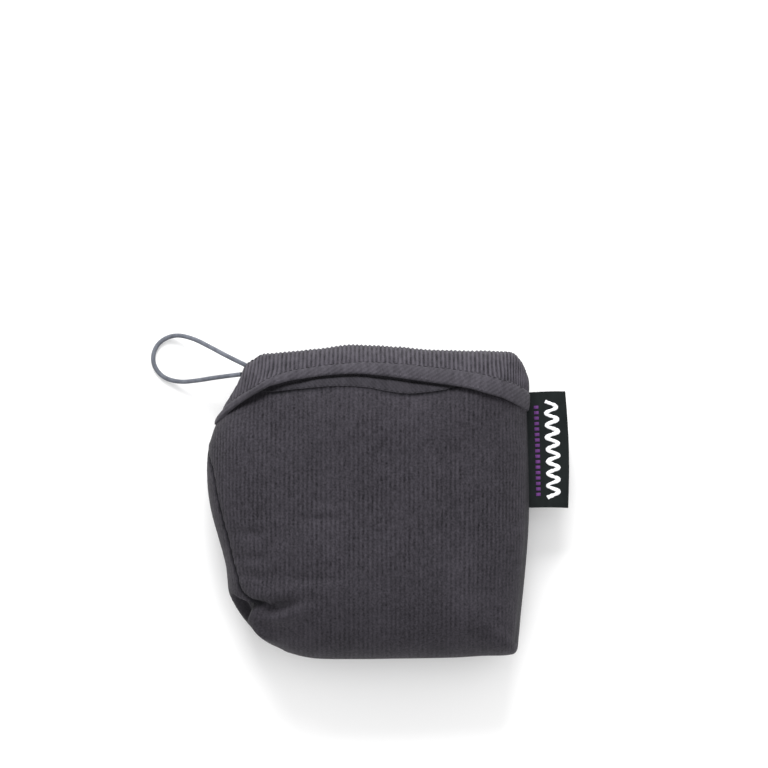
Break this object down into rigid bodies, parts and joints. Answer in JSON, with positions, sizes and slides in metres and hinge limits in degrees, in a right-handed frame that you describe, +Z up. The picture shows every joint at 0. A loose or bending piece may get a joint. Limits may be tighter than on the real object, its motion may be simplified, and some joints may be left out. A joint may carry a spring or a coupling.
{
  "type": "packed camp quilt",
  "caption": "Small padded quilt stuffed into its own flat fabric pocket, with a turn-back hood over the mouth, a folded side label and an elastic hang loop.",
  "frame": {"origin": "middle of the flat resting back face", "axes": "+X across the pocket, towards the side label; +Y from the pocket's bottom to its hooded mouth; +Z up, out of the front panel"},
  "size_m": [0.2157, 0.1679, 0.062],
  "materials": {
    "pocket_fabric": "fine ribbed nylon, dull",
    "hood_fabric": "ribbed nylon, slight sheen",
    "bias_binding": "twill bias tape, dull",
    "thread": "spun polyester",
    "label_ribbon": "woven damask, flat",
    "label_white": "woven thread",
    "label_purple": "woven thread",
    "elastic_cord": "braided cover, slight sheen",
    "quilt_face": "fine nylon",
    "quilt_batting": "soft fibre",
    "quilt_lining": "fine nylon",
    "quilting_thread": "spun polyester",
    "care_label_tape": "satin tape"
  },
  "bodies": {
    "pocket": {"front_panel": "pocket_fabric", "back_panel": "pocket_fabric", "hood_wall": "hood_fabric", "mouth_binding": "bias_binding", "mouth_stitching": "thread", "left_seam_allowance": "pocket_fabric", "right_seam_allowance": "pocket_fabric", "bottom_seam_allowance": "pocket_fabric", "side_seam_stitching": "thread", "label_sewn_ends": "label_ribbon", "label_stitching": "thread", "loop_sewn_ends": "elastic_cord", "loop_bartack": "thread", "quilt_face_fabric": "quilt_face", "quilt_batting": "quilt_batting", "quilt_lining": "quilt_lining", "quilt_hem_binding": "quilt_face", "quilt_quilting_thread": "quilting_thread", "care_label": "care_label_tape"},
    "hood": {"hood_lip": "hood_fabric", "hood_binding": "bias_binding", "hood_stitching": "thread"},
    "side_label": {"side_label": "label_ribbon", "label_motif_white": "label_white", "label_motif_purple": "label_purple"},
    "hang_loop": {"hang_loop": "elastic_cord"}
  },
  "joints": [
    {"name": "hood_fold", "type": "hinge", "parent": "pocket", "child": "hood", "pos_m": [0, 0.079, 0.0413], "axis": [-1, 0, 0], "range_deg": [0, 110]},
    {"name": "label_bend", "type": "hinge", "parent": "pocket", "child": "side_label", "pos_m": [0.0841, 0.0268, 0.025], "axis": [0, 1, 0], "range_deg": [-45, 75], "stiffness_Nm_per_rad": 0.0015},
    {"name": "loop_lift", "type": "hinge", "parent": "pocket", "child": "hang_loop", "pos_m": [-0.0644, 0.0681, 0.025], "axis": [0.4626, 0.8866, 0], "range_deg": [0, 70]}
  ]
}
